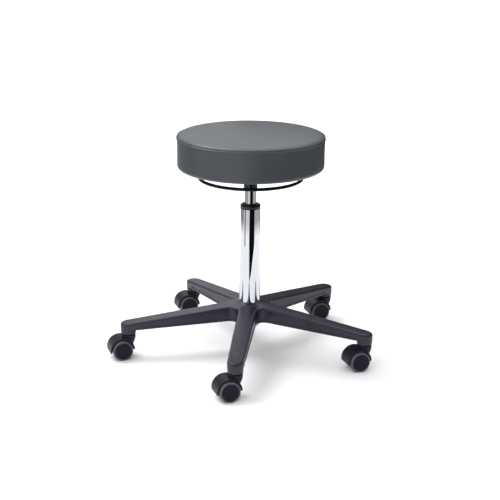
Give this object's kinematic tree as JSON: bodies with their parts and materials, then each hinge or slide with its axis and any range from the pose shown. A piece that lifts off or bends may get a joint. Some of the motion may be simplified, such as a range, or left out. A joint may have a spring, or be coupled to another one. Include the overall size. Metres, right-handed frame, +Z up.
{
  "type": "adjustable swivel stool",
  "caption": "Round upholstered work stool on a castored star base; a ring under the seat releases the gas-spring height adjustment, and the seat swivels.",
  "frame": {"origin": "on the floor, on the column's axis", "axes": "+Z up along the column; one arm of the star base points along -Y"},
  "size_m": [0.6563, 0.6228, 0.5581],
  "materials": {
    "base_plastic": "fine matt moulded nylon",
    "chrome": "polished chrome",
    "steel": "zinc plated",
    "black_steel": "black powder coat",
    "ring_paint": "smooth black enamel",
    "collar_plastic": "semi gloss",
    "bush_plastic": "natural acetal",
    "hood_plastic": "satin moulded nylon",
    "wheel_plastic": "satin moulded nylon",
    "tread_rubber": "soft polyurethane",
    "upholstery": "fine grain coated upholstery",
    "foam": "open cell foam",
    "backing": "black non-woven",
    "plywood": "raw birch plywood"
  },
  "bodies": {
    "base": {"base_star": "base_plastic", "stem_sleeves": "steel", "castor_stems": "steel", "outer_tube": "chrome", "tube_collar": "collar_plastic", "guide_bush": "bush_plastic", "lower_race": "steel", "bearing_balls": "steel"},
    "piston": {"piston_rod": "steel", "piston_head": "steel", "upper_race": "steel", "rod_clip": "steel"},
    "seat": {"gas_cylinder": "chrome", "cylinder_guide": "steel", "seat_hub": "black_steel", "lever_pivot": "steel", "seat_plate": "black_steel", "plate_screws": "steel", "tee_nuts": "steel", "seat_board": "plywood", "foam_pad": "foam", "seat_cover": "upholstery", "dust_cover": "backing"},
    "release": {"release_lever": "black_steel", "release_ring": "ring_paint"},
    "valve": {"valve_pin": "steel"},
    "castor_1": {"castor_1_housing": "hood_plastic", "castor_1_axle": "steel"},
    "castor_1_left": {"castor_1_wheel_left": "wheel_plastic", "castor_1_tread_left": "tread_rubber"},
    "castor_1_right": {"castor_1_wheel_right": "wheel_plastic", "castor_1_tread_right": "tread_rubber"},
    "castor_2": {"castor_2_housing": "hood_plastic", "castor_2_axle": "steel"},
    "castor_2_left": {"castor_2_wheel_left": "wheel_plastic", "castor_2_tread_left": "tread_rubber"},
    "castor_2_right": {"castor_2_wheel_right": "wheel_plastic", "castor_2_tread_right": "tread_rubber"},
    "castor_3": {"castor_3_housing": "hood_plastic", "castor_3_axle": "steel"},
    "castor_3_left": {"castor_3_wheel_left": "wheel_plastic", "castor_3_tread_left": "tread_rubber"},
    "castor_3_right": {"castor_3_wheel_right": "wheel_plastic", "castor_3_tread_right": "tread_rubber"},
    "castor_4": {"castor_4_housing": "hood_plastic", "castor_4_axle": "steel"},
    "castor_4_left": {"castor_4_wheel_left": "wheel_plastic", "castor_4_tread_left": "tread_rubber"},
    "castor_4_right": {"castor_4_wheel_right": "wheel_plastic", "castor_4_tread_right": "tread_rubber"},
    "castor_5": {"castor_5_housing": "hood_plastic", "castor_5_axle": "steel"},
    "castor_5_left": {"castor_5_wheel_left": "wheel_plastic", "castor_5_tread_left": "tread_rubber"},
    "castor_5_right": {"castor_5_wheel_right": "wheel_plastic", "castor_5_tread_right": "tread_rubber"}
  },
  "joints": [
    {"name": "seat_swivel", "type": "hinge", "parent": "base", "child": "piston", "pos_m": [0, 0, 0.077], "axis": [0, 0, 1], "continuous": true},
    {"name": "height_adjust", "type": "slide", "parent": "piston", "child": "seat", "axis": [0, 0, 1], "range_m": [-0.03, 0.1]},
    {"name": "release_tilt", "type": "hinge", "parent": "seat", "child": "release", "pos_m": [0.00222, -0.02189, 0.456], "axis": [-0.9949, -0.1011, 0], "range_deg": [0, 5], "stiffness_Nm_per_rad": 6, "springref_deg": -5.73},
    {"name": "valve_press", "type": "slide", "parent": "seat", "child": "valve", "axis": [0, 0, -1], "range_m": [0, 0.0023]},
    {"name": "castor_1_swivel", "type": "hinge", "parent": "base", "child": "castor_1", "pos_m": [0, -0.306, 0.0606], "axis": [0, 0, 1], "continuous": true},
    {"name": "castor_1_left_roll", "type": "hinge", "parent": "castor_1", "child": "castor_1_left", "pos_m": [-0.01808, -0.31455, 0.025], "axis": [-0.4274, 0.9041, 0], "continuous": true},
    {"name": "castor_1_right_roll", "type": "hinge", "parent": "castor_1", "child": "castor_1_right", "pos_m": [-0.01808, -0.31455, 0.025], "axis": [-0.4274, 0.9041, 0], "continuous": true},
    {"name": "castor_2_swivel", "type": "hinge", "parent": "base", "child": "castor_2", "pos_m": [0.29102, -0.09456, 0.0606], "axis": [0, 0, 1], "continuous": true},
    {"name": "castor_2_left_roll", "type": "hinge", "parent": "castor_2", "child": "castor_2_left", "pos_m": [0.27294, -0.10311, 0.025], "axis": [-0.4274, 0.9041, 0], "continuous": true},
    {"name": "castor_2_right_roll", "type": "hinge", "parent": "castor_2", "child": "castor_2_right", "pos_m": [0.27294, -0.10311, 0.025], "axis": [-0.4274, 0.9041, 0], "continuous": true},
    {"name": "castor_3_swivel", "type": "hinge", "parent": "base", "child": "castor_3", "pos_m": [0.17986, 0.24756, 0.0606], "axis": [0, 0, 1], "continuous": true},
    {"name": "castor_3_left_roll", "type": "hinge", "parent": "castor_3", "child": "castor_3_left", "pos_m": [0.16178, 0.23901, 0.025], "axis": [-0.4274, 0.9041, 0], "continuous": true},
    {"name": "castor_3_right_roll", "type": "hinge", "parent": "castor_3", "child": "castor_3_right", "pos_m": [0.16178, 0.23901, 0.025], "axis": [-0.4274, 0.9041, 0], "continuous": true},
    {"name": "castor_4_swivel", "type": "hinge", "parent": "base", "child": "castor_4", "pos_m": [-0.17986, 0.24756, 0.0606], "axis": [0, 0, 1], "continuous": true},
    {"name": "castor_4_left_roll", "type": "hinge", "parent": "castor_4", "child": "castor_4_left", "pos_m": [-0.19794, 0.23901, 0.025], "axis": [-0.4274, 0.9041, 0], "continuous": true},
    {"name": "castor_4_right_roll", "type": "hinge", "parent": "castor_4", "child": "castor_4_right", "pos_m": [-0.19794, 0.23901, 0.025], "axis": [-0.4274, 0.9041, 0], "continuous": true},
    {"name": "castor_5_swivel", "type": "hinge", "parent": "base", "child": "castor_5", "pos_m": [-0.29102, -0.09456, 0.0606], "axis": [0, 0, 1], "continuous": true},
    {"name": "castor_5_left_roll", "type": "hinge", "parent": "castor_5", "child": "castor_5_left", "pos_m": [-0.30911, -0.10311, 0.025], "axis": [-0.4274, 0.9041, 0], "continuous": true},
    {"name": "castor_5_right_roll", "type": "hinge", "parent": "castor_5", "child": "castor_5_right", "pos_m": [-0.30911, -0.10311, 0.025], "axis": [-0.4274, 0.9041, 0], "continuous": true}
  ],
  "couplings": [
    {"joint": "valve_press", "follows": "release_tilt", "m_per_rad": 0.0245}
  ]
}
